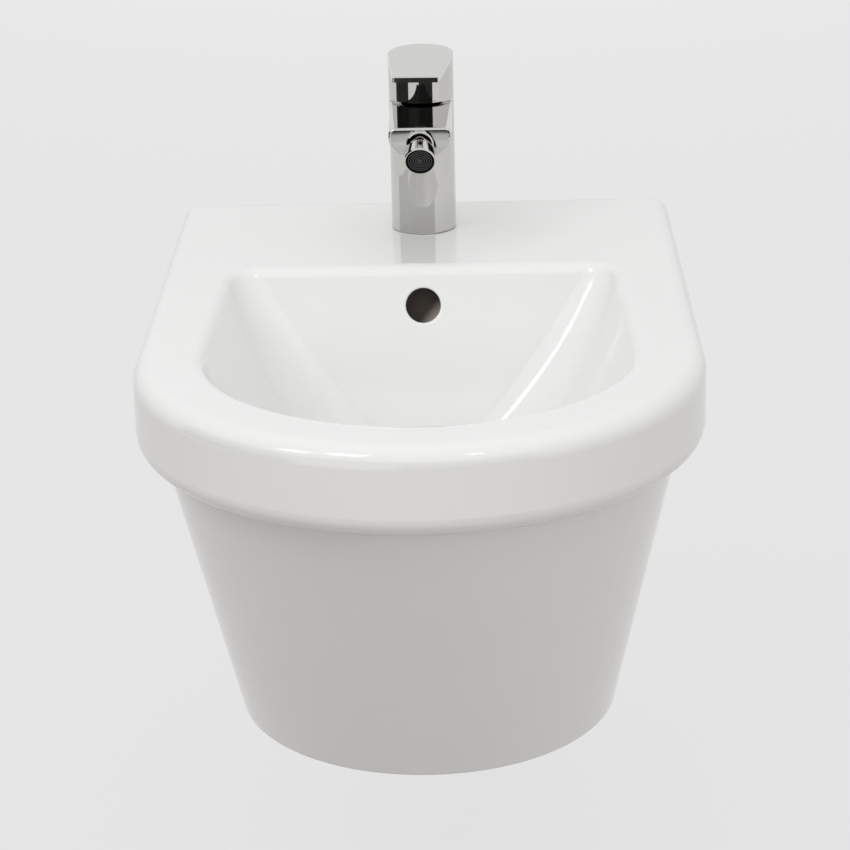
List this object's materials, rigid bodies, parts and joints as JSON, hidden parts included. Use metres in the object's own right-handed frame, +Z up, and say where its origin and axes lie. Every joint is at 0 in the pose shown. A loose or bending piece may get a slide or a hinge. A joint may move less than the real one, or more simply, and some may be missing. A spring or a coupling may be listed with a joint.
{
  "type": "wall-hung bidet",
  "caption": "Wall-hung bidet with an overhanging D-shaped rim, tapered casing, funnel bowl with overflow, single-lever mixer with a swivel nozzle, and a push-open waste.",
  "frame": {"origin": "on the wall plane, midway between the two wall fixing holes", "axes": "+X to the viewer's right, +Y into the wall, +Z up; the front of the bowl faces -Y"},
  "size_m": [0.365, 0.52, 0.4061],
  "materials": {
    "china": "gloss glaze",
    "chrome": "polished chrome plate",
    "brass": "plain turned brass",
    "steel": "stainless, satin",
    "rubber": "matte",
    "white_plastic": "satin",
    "grey_plastic": "satin",
    "black_plastic": "satin"
  },
  "bodies": {
    "bidet": {"ceramic_rim": "china", "ceramic_bowl": "china", "ceramic_casing": "china", "ceramic_back": "china", "ceramic_duct": "china", "wall_fixing_sleeves": "white_plastic", "wall_fixing_washers": "steel", "wall_fixing_nuts": "steel", "waste_body": "chrome", "waste_flange_seal": "rubber", "waste_under_seal": "rubber", "waste_lock_nut": "brass", "plug_guide": "white_plastic", "mixer_body": "chrome", "mixer_base_gasket": "rubber", "mixer_stud": "steel", "clamp_gasket": "rubber", "clamp_plate": "steel", "clamp_nut": "brass", "cartridge_housing": "grey_plastic", "cartridge_seals": "rubber", "cartridge_nut": "chrome", "cartridge_dome": "chrome", "ball_seal": "rubber", "ball_retainer": "chrome"},
    "stem_turn": {"stem_guide": "grey_plastic", "stem_pin": "steel"},
    "lever": {"lever_stem": "steel", "lever_handle": "chrome", "lever_screw": "steel", "lever_screw_cap": "chrome"},
    "nozzle_seat": {"ball_seat": "white_plastic"},
    "nozzle": {"nozzle_ball": "brass", "nozzle_shell": "chrome", "aerator_washer": "rubber", "aerator_insert": "black_plastic"},
    "plug": {"waste_plug": "chrome", "plug_stem": "steel", "plug_seal": "rubber"}
  },
  "joints": [
    {"name": "lever_turn", "type": "hinge", "parent": "bidet", "child": "stem_turn", "pos_m": [0, -0.062, 0.166], "axis": [0, 0, 1], "range_deg": [-42.6, 47.4]},
    {"name": "lever_lift", "type": "hinge", "parent": "stem_turn", "child": "lever", "pos_m": [0, -0.062, 0.166], "axis": [-0.9991, 0.0419, 0], "range_deg": [0, 22]},
    {"name": "nozzle_swing", "type": "hinge", "parent": "bidet", "child": "nozzle_seat", "pos_m": [0, -0.1457, 0.165], "axis": [0, -1, 0], "range_deg": [-90, 90]},
    {"name": "nozzle_tilt", "type": "hinge", "parent": "nozzle_seat", "child": "nozzle", "pos_m": [0, -0.1457, 0.165], "axis": [-1, 0, 0], "range_deg": [-2.5, 43.5]},
    {"name": "plug_press", "type": "slide", "parent": "bidet", "child": "plug", "axis": [0, 0, 1], "range_m": [0, 0.007]}
  ]
}
